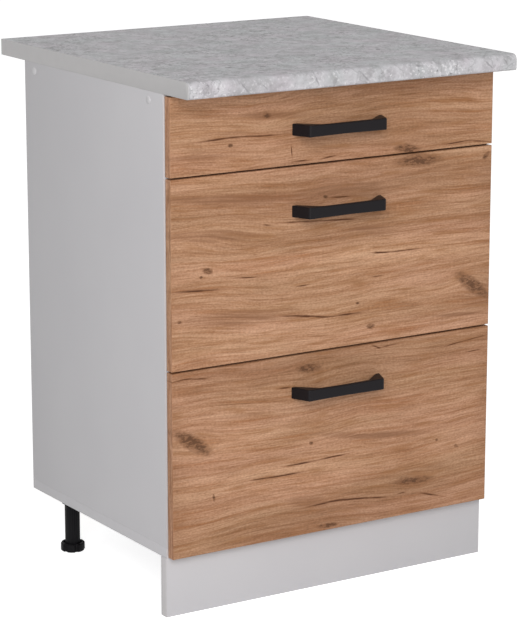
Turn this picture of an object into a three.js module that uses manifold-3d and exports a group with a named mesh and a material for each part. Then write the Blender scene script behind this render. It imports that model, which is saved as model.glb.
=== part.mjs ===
// A kitchen base cabinet with three drawers, built as a scene graph.
//
// Units are millimetres and +Z is up. The origin is on the floor, under the middle of the worktop.
// The drawer fronts face -Y, and the left side of the cabinet is at -X.

import * as THREE from 'three';
import { mergeVertices } from 'three/addons/utils/BufferGeometryUtils.js';
import Module from 'manifold-3d';

// ---------------------------------------------------------------------------
// Driving dimensions
// ---------------------------------------------------------------------------

// Carcass
const moduleWidth = 600;
const plinthHeight = 96;
const boardThickness = 16;
const hardboardThickness = 3;
const backPanelInset = 2;
const topRailDepth = 80;
const topRailDrop = 5;

// Worktop
const worktopDepth = 600;
const worktopThickness = 26;
const worktopFrontOverhang = 75;
const noseTopRounding = 10;
const noseBottomRounding = 4;

// Drawer fronts
const frontThickness = 16;
const frontStandoff = 2;
const frontSideMargin = 2;
const frontBottomMargin = 2;
const frontTopMargin = 3;
const frontGap = 3;
const shallowFrontHeight = 121;
const deepFrontHeight = 294;

// Drawer boxes, placed by how far they start above and end below the edges of their fronts
const runnerLength = 400;
const spaceBehindRunners = 40;
const shallowBoxRise = 14;
const shallowBoxHeadroom = 9;
const deepBoxRise = 36;
const deepBoxDrop = 88;

// Bracket handles
const handleFootSpan = 166;
const handleBarSpan = 141;
const handleProjection = 32;
const handleBarThickness = 8;
const handleFootWidth = 7.5;
const handleInnerSpan = 92;
const handleEndHeight = 18.5;
const handleWaistHeight = 16.5;
const handleEdgeRounding = 1.5;
const handleCornerRounding = 3;
const topHandleDrop = 66;
const middleHandleDrop = 68.5;
const bottomHandleDrop = 59;

// Roller runners: the cabinet rail is screwed to the side board, the drawer rail to the drawer
const steelThickness = 1.25;
const cabinetRailSetback = 2;
const drawerRailSetback = 2;
const rollerRadius = 9;
const rollerWidth = 6;
const rollerWebGap = 1;
const rollerLipGap = 0.75;
const railGap = 1;
const rollerEndDistance = 12;
const rollerRimChamfer = 0.6;
const rollerHeadRecess = 1;
const rollingGap = 0.3;
const channelPlay = 0.7;
const flangeGap = 0.75;
const channelFloorHeight = 1;
const channelLipHeight = 3.25;
const channelRoofWidth = 7.5;
const channelRoofClearance = 6;
const runningFlangeWidth = 8.75;
const supportFlangeWidth = 14;
const axleRadius = 2.25;
const axleHeadRadius = 3.75;
const axleGap = 0.3;
const drawerTravel = 300;
const stopHeight = 3;
const railScrewHoleRadius = 2.25;
const railScrewSlotTravel = 4;
const railScrewEndDistance = 35;

// Levelling legs under the back edge
const legSideInset = 36;
const legBackInset = 69;
const socketPlateSize = 60;
const socketPlateThickness = 3;
const socketPlateRounding = 8;
const socketSleeveLength = 11;
const socketSleeveWall = 4;
const socketScrewHoleRadius = 2.25;
const socketScrewPitch = 44;
const legTubeRadius = 12.5;
const legGrooveCount = 24;
const legGrooveDepth = 0.4;
const legFit = 0.3;
const footRadius = 20;
const footHeight = 14;
const footEdgeRounding = 1.5;
const footRimWidth = 4;
const footRecessDepth = 3.5;
const footNotchCount = 6;
const footNotchRadius = 4;
const footNotchTurn = 22;
const stemRadius = 5;
const stemLength = 41;
const stemBoreDepth = 49;

// ---------------------------------------------------------------------------
// Places worked out from the dimensions
// ---------------------------------------------------------------------------

const halfWidth = moduleWidth / 2;
const innerHalfWidth = halfWidth - boardThickness;
const carcassFront = -worktopDepth / 2 + worktopFrontOverhang;
const cabinetRailFront = carcassFront + cabinetRailSetback;
const cabinetRailBack = cabinetRailFront + runnerLength;
const carcassBack = cabinetRailBack + spaceBehindRunners;
const bottomPanelTop = plinthHeight + boardThickness;

const frontHalfWidth = halfWidth - frontSideMargin;
const frontBack = carcassFront - frontStandoff;
const frontFace = frontBack - frontThickness;
const bottomFrontLow = plinthHeight + frontBottomMargin;
const middleFrontLow = bottomFrontLow + deepFrontHeight + frontGap;
const topFrontLow = middleFrontLow + deepFrontHeight + frontGap;
const carcassTop = topFrontLow + shallowFrontHeight + frontTopMargin;
const topRailHigh = carcassTop - topRailDrop;
const topRailLow = topRailHigh - boardThickness;

// Across the gap between side board and drawer: rail web, roller, channel lip, the drawer's rail
const rollerAcross = steelThickness + rollerWebGap + rollerWidth / 2;
const channelLipAcross = rollerAcross + rollerWidth / 2 + rollerLipGap;
const drawerRailAcross = channelLipAcross + steelThickness + railGap;
const runnerSpace = drawerRailAcross + steelThickness;

const boxHalfWidth = innerHalfWidth - runnerSpace;
const boxInnerHalfWidth = boxHalfWidth - boardThickness;
const boxBack = frontBack + runnerLength;

// Heights in a runner are counted from the seat, the underside of the drawer's bottom
const channelFloorUnderside = channelFloorHeight - steelThickness;
const channelRoofUnderside = channelFloorHeight + rollingGap + 2 * rollerRadius + channelPlay;
const channelRoofTop = channelRoofUnderside + steelThickness;
const runningFlangeUnderside = channelRoofTop + flangeGap;
const runningFlangeTop = runningFlangeUnderside + steelThickness;
const frontRollerHeight = runningFlangeUnderside - rollingGap - rollerRadius;
const rearRollerHeight = channelFloorHeight + rollingGap + rollerRadius;

const drawerRailFront = frontBack + drawerRailSetback;
const frontRollerY = cabinetRailFront + rollerEndDistance;
const rearRollerY = boxBack - rollerEndDistance;

const drawers = [
  {
    name: 'top',
    frontLow: topFrontLow,
    frontHeight: shallowFrontHeight,
    boxLow: topFrontLow + shallowBoxRise,
    boxTop: topRailLow - shallowBoxHeadroom,
    handleDrop: topHandleDrop,
  },
  {
    name: 'middle',
    frontLow: middleFrontLow,
    frontHeight: deepFrontHeight,
    boxLow: middleFrontLow + deepBoxRise,
    boxTop: middleFrontLow + deepFrontHeight - deepBoxDrop,
    handleDrop: middleHandleDrop,
  },
  {
    name: 'bottom',
    frontLow: bottomFrontLow,
    frontHeight: deepFrontHeight,
    boxLow: bottomFrontLow + deepBoxRise,
    boxTop: bottomFrontLow + deepFrontHeight - deepBoxDrop,
    handleDrop: bottomHandleDrop,
  },
];

const sides = [
  { name: 'left', sign: -1 },
  { name: 'right', sign: 1 },
];

// ---------------------------------------------------------------------------
// Materials
// ---------------------------------------------------------------------------

function material(color, roughness, metalness = 0) {
  return new THREE.MeshStandardMaterial({ color, roughness, metalness });
}

const stoneLaminate = () => material(0xb9b9b8, 0.45);
const oakLaminate = () => material(0xb2866a, 0.6);
const greyLaminate = () => material(0xc6c5c8, 0.55);
const hardboard = () => material(0xe4e1dc, 0.7);
const blackMetal = () => material(0x26262a, 0.5, 0.4);
const blackPlastic = () => material(0x1c1b1e, 0.55);
const coatedSteel = () => material(0xe6e6e2, 0.4, 0.2);
const rollerNylon = () => material(0xf1f0ea, 0.5);

// ---------------------------------------------------------------------------
// Shape tools
// ---------------------------------------------------------------------------

const wasm = await Module();
wasm.setup();

// Closed solid from a geometry, without the flat triangles at the poles of a revolved shape
function toSolid(geometry) {
  const plain = geometry.clone();
  plain.deleteAttribute('normal');
  plain.deleteAttribute('uv');
  const welded = mergeVertices(plain, 1e-4);
  const corners = welded.index.array;
  const kept = [];
  for (let i = 0; i < corners.length; i += 3) {
    const [a, b, c] = corners.slice(i, i + 3);
    if (a !== b && b !== c && c !== a) {
      kept.push(a, b, c);
    }
  }
  return new wasm.Manifold(new wasm.Mesh({
    numProp: 3,
    vertProperties: Float32Array.from(welded.attributes.position.array),
    triVerts: Uint32Array.from(kept),
  }));
}

function toGeometry(solid) {
  const mesh = solid.getMesh();
  const geometry = new THREE.BufferGeometry();
  geometry.setAttribute('position', new THREE.BufferAttribute(mesh.vertProperties, 3));
  geometry.setIndex(new THREE.BufferAttribute(mesh.triVerts, 1));
  geometry.computeVertexNormals();
  return geometry;
}

function join(geometries) {
  const [first, ...others] = geometries.map(toSolid);
  return toGeometry(others.reduce((sum, solid) => sum.add(solid), first));
}

function cut(geometry, cutters) {
  return toGeometry(cutters.reduce((rest, cutter) => rest.subtract(toSolid(cutter)), toSolid(geometry)));
}

// Box between two opposite corners
function boxBetween(low, high) {
  const geometry = new THREE.BoxGeometry(1, 1, 1);
  const corner = geometry.attributes.position;
  for (let i = 0; i < corner.count; i += 1) {
    const x = corner.getX(i) < 0 ? low[0] : high[0];
    const y = corner.getY(i) < 0 ? low[1] : high[1];
    const z = corner.getZ(i) < 0 ? low[2] : high[2];
    corner.setXYZ(i, x, y, z);
  }
  return geometry;
}

// Outline through the given corners, each [x, y, rounding], the rounding being the length
// that the curve takes from the straight edges beside the corner
function roundedOutline(corners) {
  const outline = new THREE.Shape();
  corners.forEach(([x, y, rounding], i) => {
    const corner = new THREE.Vector2(x, y);
    const previous = new THREE.Vector2(...corners.at(i - 1));
    const next = new THREE.Vector2(...corners[(i + 1) % corners.length]);
    const enter = previous.sub(corner).setLength(rounding).add(corner);
    const leave = next.sub(corner).setLength(rounding).add(corner);
    if (i === 0) {
      outline.moveTo(enter.x, enter.y);
    } else {
      outline.lineTo(enter.x, enter.y);
    }
    if (rounding > 0) {
      outline.quadraticCurveTo(x, y, leave.x, leave.y);
    }
  });
  outline.closePath();
  return outline;
}

// Section in the XZ plane, drawn out along Y
function extrudeAlongY(section, start, end, curveSegments = 6) {
  const geometry = new THREE.ExtrudeGeometry(section, {
    depth: end - start,
    bevelEnabled: false,
    curveSegments,
  });
  geometry.rotateX(Math.PI / 2);
  geometry.translate(0, end, 0);
  return geometry;
}

// Section in the YZ plane, drawn out along X
function extrudeAlongX(section, start, end, curveSegments = 6) {
  const geometry = new THREE.ExtrudeGeometry(section, {
    depth: end - start,
    bevelEnabled: false,
    curveSegments,
  });
  const axes = new THREE.Matrix4().set(
    0, 0, 1, start,
    1, 0, 0, 0,
    0, 1, 0, 0,
    0, 0, 0, 1,
  );
  return geometry.applyMatrix4(axes);
}

function polygon(points) {
  return new THREE.Shape(points.map(([x, y]) => new THREE.Vector2(x, y)));
}

// Profile of [radius, height] points, turned about the Z axis
function turnAboutZ(profile, segments) {
  const points = profile.map(([radius, height]) => new THREE.Vector2(radius, height));
  return new THREE.LatheGeometry(points, segments).rotateX(Math.PI / 2);
}

function mesh(name, geometry, finish) {
  const piece = new THREE.Mesh(geometry, finish);
  piece.name = name;
  return piece;
}

function board(name, low, high, finish) {
  return mesh(name, boxBetween(low, high), finish);
}

// ---------------------------------------------------------------------------
// Carcass: two sides on a full-width bottom, two flat rails, a nailed back and the plinth
// ---------------------------------------------------------------------------

function buildCarcass() {
  const carcass = new THREE.Group();
  for (const side of sides) {
    const faces = [side.sign * innerHalfWidth, side.sign * halfWidth].sort((a, b) => a - b);
    const low = [faces[0], carcassFront, bottomPanelTop];
    const high = [faces[1], carcassBack, carcassTop];
    carcass.add(board(`side_${side.name}`, low, high, greyLaminate()));
  }

  const bottomLow = [-halfWidth, carcassFront, plinthHeight];
  const bottomHigh = [halfWidth, carcassBack, bottomPanelTop];
  carcass.add(board('bottom_panel', bottomLow, bottomHigh, greyLaminate()));

  const frontRailLow = [-innerHalfWidth, carcassFront, topRailLow];
  const frontRailHigh = [innerHalfWidth, carcassFront + topRailDepth, topRailHigh];
  carcass.add(board('front_rail', frontRailLow, frontRailHigh, greyLaminate()));
  const rearRailLow = [-innerHalfWidth, carcassBack - topRailDepth, topRailLow];
  const rearRailHigh = [innerHalfWidth, carcassBack, topRailHigh];
  carcass.add(board('rear_rail', rearRailLow, rearRailHigh, greyLaminate()));

  const backHalfWidth = halfWidth - backPanelInset;
  const backLow = [-backHalfWidth, carcassBack, plinthHeight + backPanelInset];
  const backHigh = [backHalfWidth, carcassBack + hardboardThickness, carcassTop - backPanelInset];
  carcass.add(board('back_panel', backLow, backHigh, hardboard()));

  const plinthLow = [-halfWidth, carcassFront, 0];
  const plinthHigh = [halfWidth, carcassFront + boardThickness, plinthHeight];
  carcass.add(board('plinth', plinthLow, plinthHigh, greyLaminate()));
  return carcass;
}

// ---------------------------------------------------------------------------
// Worktop: chipboard slab with a rounded front nose
// ---------------------------------------------------------------------------

function buildWorktop() {
  const front = -worktopDepth / 2;
  const top = carcassTop + worktopThickness;
  const section = roundedOutline([
    [front, carcassTop, noseBottomRounding],
    [-front, carcassTop, 0],
    [-front, top, 0],
    [front, top, noseTopRounding],
  ]);
  return mesh('worktop', extrudeAlongX(section, -halfWidth, halfWidth, 10), stoneLaminate());
}

// ---------------------------------------------------------------------------
// Bracket handle: a bar on two feet that splay outwards, thinner at the middle of its height
// ---------------------------------------------------------------------------

function handlePlan() {
  const barRear = -(handleProjection - handleBarThickness);
  const footHalf = handleFootSpan / 2;
  const barHalf = handleBarSpan / 2;
  const innerHalf = handleInnerSpan / 2;
  const barSteps = 8;
  const corners = [
    [footHalf, 0, 0],
    [footHalf - handleFootWidth, 0, 0],
    [innerHalf, barRear, handleCornerRounding],
  ];
  for (let i = 1; i < barSteps; i += 1) {
    corners.push([innerHalf * (1 - (2 * i) / barSteps), barRear, 0]);
  }
  corners.push([-innerHalf, barRear, handleCornerRounding]);
  corners.push([handleFootWidth - footHalf, 0, 0]);
  corners.push([-footHalf, 0, 0]);
  corners.push([-barHalf, -handleProjection, handleCornerRounding]);
  for (let i = 1; i < barSteps; i += 1) {
    corners.push([barHalf * ((2 * i) / barSteps - 1), -handleProjection, 0]);
  }
  corners.push([barHalf, -handleProjection, handleCornerRounding]);
  return roundedOutline(corners);
}

function buildHandle(name) {
  const geometry = new THREE.ExtrudeGeometry(handlePlan(), {
    depth: handleEndHeight - 2 * handleEdgeRounding,
    curveSegments: 3,
    bevelThickness: handleEdgeRounding,
    bevelSize: handleEdgeRounding,
    bevelOffset: -handleEdgeRounding,
    bevelSegments: 2,
  });
  geometry.translate(0, 0, handleEdgeRounding - handleEndHeight / 2);

  const waist = 1 - handleWaistHeight / handleEndHeight;
  const place = geometry.attributes.position;
  for (let i = 0; i < place.count; i += 1) {
    const fromMiddle = Math.min(1, Math.abs(place.getX(i)) / (handleBarSpan / 2));
    place.setZ(i, place.getZ(i) * (1 - waist * (1 - fromMiddle ** 2)));
  }
  return mesh(name, geometry, blackMetal());
}

// ---------------------------------------------------------------------------
// Roller runners. Across is counted from the inner face of the side board towards the drawer.
// ---------------------------------------------------------------------------

function acrossToX(side, across) {
  return side.sign * (innerHalfWidth - across);
}

function runnerSection(side, points) {
  return polygon(points.map(([across, height]) => [acrossToX(side, across), height]));
}

// The three screw places along a rail: one near each end and one in the middle
function screwPlaces(railFront, railBack) {
  return [railFront + railScrewEndDistance, (railFront + railBack) / 2, railBack - railScrewEndDistance];
}

// Rivet that carries a roller: a shoulder on the rail, a journal and a flat head
function axle(side, webAcross, y, height) {
  const fromWeb = Math.sign(rollerAcross - webAcross);
  const hubNear = rollerAcross - fromWeb * (rollerWidth / 2 + axleGap);
  const hubFar = rollerAcross + fromWeb * (rollerWidth / 2 - rollerHeadRecess + axleGap);
  const headEnd = rollerAcross + fromWeb * (rollerWidth / 2);
  const profile = [
    [0, webAcross],
    [axleHeadRadius, webAcross],
    [axleHeadRadius, hubNear],
    [axleRadius, hubNear],
    [axleRadius, hubFar],
    [axleHeadRadius, hubFar],
    [axleHeadRadius, headEnd],
    [0, headEnd],
  ];
  if (fromWeb < 0) {
    profile.reverse();
  }
  const points = profile.map(([radius, across]) => new THREE.Vector2(radius, across));
  const geometry = new THREE.LatheGeometry(points, 16);
  geometry.rotateZ((side.sign * Math.PI) / 2);
  geometry.translate(acrossToX(side, 0), y, height);
  return geometry;
}

// Channel screwed to the side board: the drawer's rear roller runs in it
function buildCabinetRail(name, side) {
  const lipOuter = channelLipAcross + steelThickness;
  const lipTop = channelFloorHeight + channelLipHeight;
  const trough = [
    [0, channelRoofTop],
    [0, channelFloorUnderside],
    [lipOuter, channelFloorUnderside],
    [lipOuter, lipTop],
    [channelLipAcross, lipTop],
    [channelLipAcross, channelFloorHeight],
    [steelThickness, channelFloorHeight],
    [steelThickness, channelRoofTop],
  ];
  const roof = [
    [steelThickness / 2, channelRoofTop],
    [steelThickness / 2, channelRoofUnderside],
    [steelThickness + channelRoofWidth, channelRoofUnderside],
    [steelThickness + channelRoofWidth, channelRoofTop],
  ];
  const roofFront = frontRollerY + rollerRadius + channelRoofClearance;

  // The stop is where the rear roller meets it at the end of the drawer's travel
  const riseToAxle = rearRollerHeight - channelFloorHeight - stopHeight;
  const stopReach = Math.sqrt(rollerRadius ** 2 - riseToAxle ** 2);
  const stopBack = rearRollerY - drawerTravel - stopReach - rollingGap;
  const stopFaces = [acrossToX(side, steelThickness), acrossToX(side, channelLipAcross)];
  stopFaces.sort((a, b) => a - b);
  const stopFoot = channelFloorHeight - steelThickness / 2;
  const stop = boxBetween(
    [stopFaces[0], stopBack - steelThickness, stopFoot],
    [stopFaces[1], stopBack, channelFloorHeight + stopHeight],
  );

  const geometry = join([
    extrudeAlongY(runnerSection(side, trough), cabinetRailFront, cabinetRailBack),
    extrudeAlongY(runnerSection(side, roof), roofFront, cabinetRailBack),
    stop,
    axle(side, steelThickness / 2, frontRollerY, frontRollerHeight),
  ]);

  // Slots in the web, half way up the channel, let the rail be shifted before its screws are tight
  const slotHeight = (channelFloorHeight + channelRoofUnderside) / 2;
  const slotFaces = [acrossToX(side, -steelThickness), acrossToX(side, 2 * steelThickness)];
  slotFaces.sort((a, b) => a - b);
  const slots = screwPlaces(cabinetRailFront, cabinetRailBack).map((y) => {
    const outline = new THREE.Shape();
    const ends = [y + railScrewSlotTravel / 2, y - railScrewSlotTravel / 2];
    outline.absarc(ends[0], slotHeight, railScrewHoleRadius, -Math.PI / 2, Math.PI / 2);
    outline.absarc(ends[1], slotHeight, railScrewHoleRadius, Math.PI / 2, 1.5 * Math.PI);
    return extrudeAlongX(outline, slotFaces[0], slotFaces[1]);
  });
  return mesh(name, cut(geometry, slots), coatedSteel());
}

// Z section under the drawer's edge: its top flange rolls on the cabinet rail's front roller
function buildDrawerRail(name, side) {
  const section = [
    [drawerRailAcross - runningFlangeWidth, runningFlangeTop],
    [drawerRailAcross - runningFlangeWidth, runningFlangeUnderside],
    [drawerRailAcross, runningFlangeUnderside],
    [drawerRailAcross, -steelThickness],
    [runnerSpace + supportFlangeWidth, -steelThickness],
    [runnerSpace + supportFlangeWidth, 0],
    [runnerSpace, 0],
    [runnerSpace, runningFlangeTop],
  ];
  const geometry = join([
    extrudeAlongY(runnerSection(side, section), drawerRailFront, boxBack),
    axle(side, drawerRailAcross + steelThickness / 2, rearRollerY, rearRollerHeight),
  ]);

  const holeX = acrossToX(side, runnerSpace + supportFlangeWidth / 2);
  const holeDepth = 4 * steelThickness;
  const holes = screwPlaces(drawerRailFront, boxBack).map((y) => {
    const hole = new THREE.CylinderGeometry(railScrewHoleRadius, railScrewHoleRadius, holeDepth, 12);
    hole.rotateX(Math.PI / 2);
    return hole.translate(holeX, y, 0);
  });
  return mesh(name, cut(geometry, holes), coatedSteel());
}

// Nylon roller with a recess for the rivet head, which is on the side away from the rail
function buildRoller(name, side, headSide, y, height) {
  const half = rollerWidth / 2;
  const bore = axleRadius + axleGap;
  const recess = axleHeadRadius + 2 * axleGap;
  const rim = rollerRadius - rollerRimChamfer;
  const points = [
    [bore, -half],
    [rim, -half],
    [rollerRadius, rollerRimChamfer - half],
    [rollerRadius, half - rollerRimChamfer],
    [rim, half],
    [recess, half],
    [recess, half - rollerHeadRecess],
    [bore, half - rollerHeadRecess],
    [bore, -half],
  ];
  const geometry = new THREE.LatheGeometry(points.map(([x, y]) => new THREE.Vector2(x, y)), 20);
  geometry.rotateZ((side.sign * headSide * Math.PI) / 2);
  const roller = mesh(name, geometry, rollerNylon());
  roller.position.set(acrossToX(side, rollerAcross), y, height);
  return roller;
}

// ---------------------------------------------------------------------------
// Drawer: four boards on a nailed hardboard bottom, the front, its handle and two rails
// ---------------------------------------------------------------------------

function buildDrawer(drawer) {
  const group = new THREE.Group();
  const { name, boxLow, boxTop, frontLow, frontHeight, handleDrop } = drawer;
  const seat = boxLow - hardboardThickness;

  const frontCorner = [-frontHalfWidth, frontFace, frontLow];
  const frontHigh = [frontHalfWidth, frontBack, frontLow + frontHeight];
  group.add(board(`drawer_${name}_front`, frontCorner, frontHigh, oakLaminate()));

  const handle = buildHandle(`drawer_${name}_handle`);
  handle.position.set(0, frontFace, frontLow + frontHeight - handleDrop);
  group.add(handle);

  for (const side of sides) {
    const faces = [side.sign * boxInnerHalfWidth, side.sign * boxHalfWidth].sort((a, b) => a - b);
    const low = [faces[0], frontBack, boxLow];
    group.add(board(`drawer_${name}_side_${side.name}`, low, [faces[1], boxBack, boxTop], greyLaminate()));
  }
  const innerFrontHigh = [boxInnerHalfWidth, frontBack + boardThickness, boxTop];
  const innerFrontLow = [-boxInnerHalfWidth, frontBack, boxLow];
  group.add(board(`drawer_${name}_inner_front`, innerFrontLow, innerFrontHigh, greyLaminate()));
  const backLow = [-boxInnerHalfWidth, boxBack - boardThickness, boxLow];
  group.add(board(`drawer_${name}_back`, backLow, [boxInnerHalfWidth, boxBack, boxTop], greyLaminate()));
  const floorHigh = [boxHalfWidth, boxBack, boxLow];
  group.add(board(`drawer_${name}_floor`, [-boxHalfWidth, frontBack, seat], floorHigh, hardboard()));

  for (const side of sides) {
    const rail = buildDrawerRail(`drawer_rail_${name}_${side.name}`, side);
    rail.position.z = seat;
    group.add(rail);
    const rollerName = `rear_roller_${name}_${side.name}`;
    group.add(buildRoller(rollerName, side, -1, rearRollerY, seat + rearRollerHeight));
  }
  return group;
}

// The rails and rollers of one drawer that stay on the side boards
function buildCabinetRunners(drawer) {
  const group = new THREE.Group();
  const seat = drawer.boxLow - hardboardThickness;
  for (const side of sides) {
    const rail = buildCabinetRail(`cabinet_rail_${drawer.name}_${side.name}`, side);
    rail.position.z = seat;
    group.add(rail);
    const rollerName = `front_roller_${drawer.name}_${side.name}`;
    group.add(buildRoller(rollerName, side, 1, frontRollerY, seat + frontRollerHeight));
  }
  return group;
}

// ---------------------------------------------------------------------------
// Levelling leg: a socket under the bottom panel, a tube pushed into it and a screwed foot
// ---------------------------------------------------------------------------

function buildSocket(name) {
  const half = socketPlateSize / 2;
  const plateOutline = roundedOutline([
    [-half, -half, socketPlateRounding],
    [half, -half, socketPlateRounding],
    [half, half, socketPlateRounding],
    [-half, half, socketPlateRounding],
  ]);
  const plateUnderside = plinthHeight - socketPlateThickness;
  const plate = new THREE.ExtrudeGeometry(plateOutline, {
    depth: socketPlateThickness,
    bevelEnabled: false,
    curveSegments: 4,
  });
  plate.translate(0, 0, plateUnderside);

  const sleeveInner = legTubeRadius + legFit;
  const sleeveOuter = sleeveInner + socketSleeveWall;
  const sleeveLow = plateUnderside - socketSleeveLength;
  const sleeve = turnAboutZ([
    [sleeveInner, sleeveLow],
    [sleeveOuter, sleeveLow],
    [sleeveOuter, plateUnderside + socketPlateThickness / 2],
    [sleeveInner, plateUnderside + socketPlateThickness / 2],
    [sleeveInner, sleeveLow],
  ], 28);

  const holes = [];
  for (const x of [-socketScrewPitch / 2, socketScrewPitch / 2]) {
    for (const y of [-socketScrewPitch / 2, socketScrewPitch / 2]) {
      const depth = 4 * socketPlateThickness;
      const hole = new THREE.CylinderGeometry(socketScrewHoleRadius, socketScrewHoleRadius, depth, 10);
      hole.rotateX(Math.PI / 2);
      hole.translate(x, y, plateUnderside);
      holes.push(hole);
    }
  }
  return mesh(name, cut(join([plate, sleeve]), holes), blackPlastic());
}

// Tube standing in the foot's recess, with fine grooves down its outside
function buildLegTube(name) {
  const low = footHeight - footRecessDepth + legFit;
  const top = plinthHeight - socketPlateThickness;
  const bore = stemRadius + legFit;
  const segments = 2 * legGrooveCount;
  const tube = turnAboutZ([
    [0, low + stemBoreDepth],
    [bore, low + stemBoreDepth],
    [bore, low],
    [legTubeRadius, low],
    [legTubeRadius, top],
    [0, top],
  ], segments);

  const place = tube.attributes.position;
  const groove = 1 - legGrooveDepth / legTubeRadius;
  for (let i = 0; i < place.count; i += 1) {
    const x = place.getX(i);
    const y = place.getY(i);
    const onOutside = Math.hypot(x, y) > (bore + legTubeRadius) / 2;
    const segment = Math.round((Math.atan2(y, x) * segments) / (2 * Math.PI));
    if (onOutside && segment % 2 !== 0) {
      place.setXY(i, x * groove, y * groove);
    }
  }
  return mesh(name, tube, blackPlastic());
}

// Foot with a raised notched rim to turn it by, and the stem that screws into the tube
function buildFoot(name) {
  const recessFloor = footHeight - footRecessDepth;
  const disc = turnAboutZ([
    [0, 0],
    [footRadius - footEdgeRounding, 0],
    [footRadius, footEdgeRounding],
    [footRadius, footHeight - footEdgeRounding],
    [footRadius - footEdgeRounding, footHeight],
    [footRadius - footRimWidth, footHeight],
    [footRadius - footRimWidth, recessFloor],
    [stemRadius, recessFloor],
    [stemRadius, footHeight + stemLength],
    [0, footHeight + stemLength],
  ], 36);
  const notches = [];
  for (let i = 0; i < footNotchCount; i += 1) {
    const angle = (footNotchTurn * Math.PI) / 180 + (2 * Math.PI * i) / footNotchCount;
    const notch = new THREE.CylinderGeometry(footNotchRadius, footNotchRadius, 4 * footHeight, 10);
    notch.rotateX(Math.PI / 2);
    notch.translate(footRadius * Math.cos(angle), footRadius * Math.sin(angle), 0);
    notches.push(notch);
  }
  return mesh(name, cut(disc, notches), blackPlastic());
}

function buildLeg(side) {
  const leg = new THREE.Group();
  leg.position.set(side.sign * (halfWidth - legSideInset), carcassBack - legBackInset, 0);
  leg.add(buildSocket(`leg_${side.name}_socket`));
  leg.add(buildLegTube(`leg_${side.name}_tube`));
  leg.add(buildFoot(`leg_${side.name}_foot`));
  return leg;
}

// ---------------------------------------------------------------------------
// The whole cabinet
// ---------------------------------------------------------------------------

const cabinet = new THREE.Group();
cabinet.add(buildCarcass());
cabinet.add(buildWorktop());
for (const drawer of drawers) {
  cabinet.add(buildDrawer(drawer));
  cabinet.add(buildCabinetRunners(drawer));
}
for (const side of sides) {
  cabinet.add(buildLeg(side));
}

export default cabinet;
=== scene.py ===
import math

import bmesh
import bpy
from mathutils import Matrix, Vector


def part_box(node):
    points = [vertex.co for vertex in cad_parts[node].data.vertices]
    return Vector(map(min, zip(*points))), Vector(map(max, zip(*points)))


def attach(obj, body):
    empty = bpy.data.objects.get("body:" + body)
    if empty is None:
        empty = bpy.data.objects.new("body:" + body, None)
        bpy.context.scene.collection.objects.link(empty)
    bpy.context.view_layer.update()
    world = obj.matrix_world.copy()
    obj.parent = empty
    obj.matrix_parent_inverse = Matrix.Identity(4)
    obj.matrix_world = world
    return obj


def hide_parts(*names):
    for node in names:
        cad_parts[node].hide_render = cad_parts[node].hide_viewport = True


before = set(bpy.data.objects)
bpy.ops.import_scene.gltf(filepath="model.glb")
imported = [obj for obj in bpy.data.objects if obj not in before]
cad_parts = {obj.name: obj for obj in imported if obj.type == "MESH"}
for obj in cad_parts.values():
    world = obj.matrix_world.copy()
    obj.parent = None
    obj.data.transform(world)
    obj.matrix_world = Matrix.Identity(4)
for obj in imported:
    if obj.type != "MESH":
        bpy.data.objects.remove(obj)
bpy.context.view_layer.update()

# ---------------------------------------------------------------------------
# Cabinet boards: two sides, a bottom board that runs under them, a front and
# a rear top rail, and the plinth board. All are 16 mm chipboard with a pale
# grey melamine film pressed on, sawn to size and held by confirmat screws.
# ---------------------------------------------------------------------------


def linear(colour):
    """The sRGB hex colour as the linear values that a shader socket takes."""
    parts = [int(colour[i : i + 2], 16) / 255 for i in (1, 3, 5)]
    curve = [p / 12.92 if p <= 0.04045 else ((p + 0.055) / 1.055) ** 2.4 for p in parts]
    return (*curve, 1.0)


def add_node(tree, kind, inputs=None, **settings):
    """Adds a node. An input is a value, an output socket, or a node, whose first output is used."""
    added = tree.nodes.new("ShaderNode" + kind)
    for setting, value in settings.items():
        setattr(added, setting, value)
    for key, value in (inputs or {}).items():
        named = [s for s in added.inputs if s.enabled and s.name == key]
        socket = named[0] if named else added.inputs[key]
        if isinstance(value, bpy.types.Node):
            value = next(s for s in value.outputs if s.enabled)
        if isinstance(value, bpy.types.NodeSocket):
            tree.links.new(value, socket)
        else:
            socket.default_value = value
    return added


def start_material(name):
    """A new material: its node tree, and the place on the piece in millimetres."""
    material = bpy.data.materials.new(name)
    material.use_nodes = True
    tree = material.node_tree
    tree.nodes.clear()
    place = add_node(tree, "TexCoord").outputs["Object"]
    place = add_node(tree, "VectorMath", {0: place, "Scale": 1000.0}, operation="SCALE")
    return material, tree, place


def end_material(tree, shader):
    """Links the shader to the material's output."""
    add_node(tree, "OutputMaterial", {"Surface": shader})


def clouded_finish(name, tones, clouds, sheen, shader, grain=None):
    """A plain coat or moulding: clouded between two tones, its roughness between the two values
    of sheen. Clouds are a size in mm and a detail. A grain is a size in mm, a detail, and a bump's
    strength and depth in mm. The roughness follows the grain, or else the clouds."""
    material, tree, place = start_material(name)
    size, detail = clouds
    texture = add_node(tree, "TexNoise", {"Vector": place, "Scale": 1 / size, "Detail": detail})
    low, high = (linear(tone) for tone in tones)
    colour = add_node(tree, "Mix", {"Factor": texture, "A": low, "B": high}, data_type="RGBA")
    finish = {"Base Color": colour, **shader}
    if grain:
        size, detail, strength, depth = grain
        texture = add_node(tree, "TexNoise", {"Vector": place, "Scale": 1 / size, "Detail": detail})
        sockets = {"Height": texture, "Strength": strength, "Distance": depth / 1000}
        finish["Normal"] = add_node(tree, "Bump", sockets)
    sockets = {"Value": texture, "To Min": sheen[0], "To Max": sheen[1]}
    finish["Roughness"] = add_node(tree, "MapRange", sockets)
    end_material(tree, add_node(tree, "BsdfPrincipled", finish))
    return material


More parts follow.
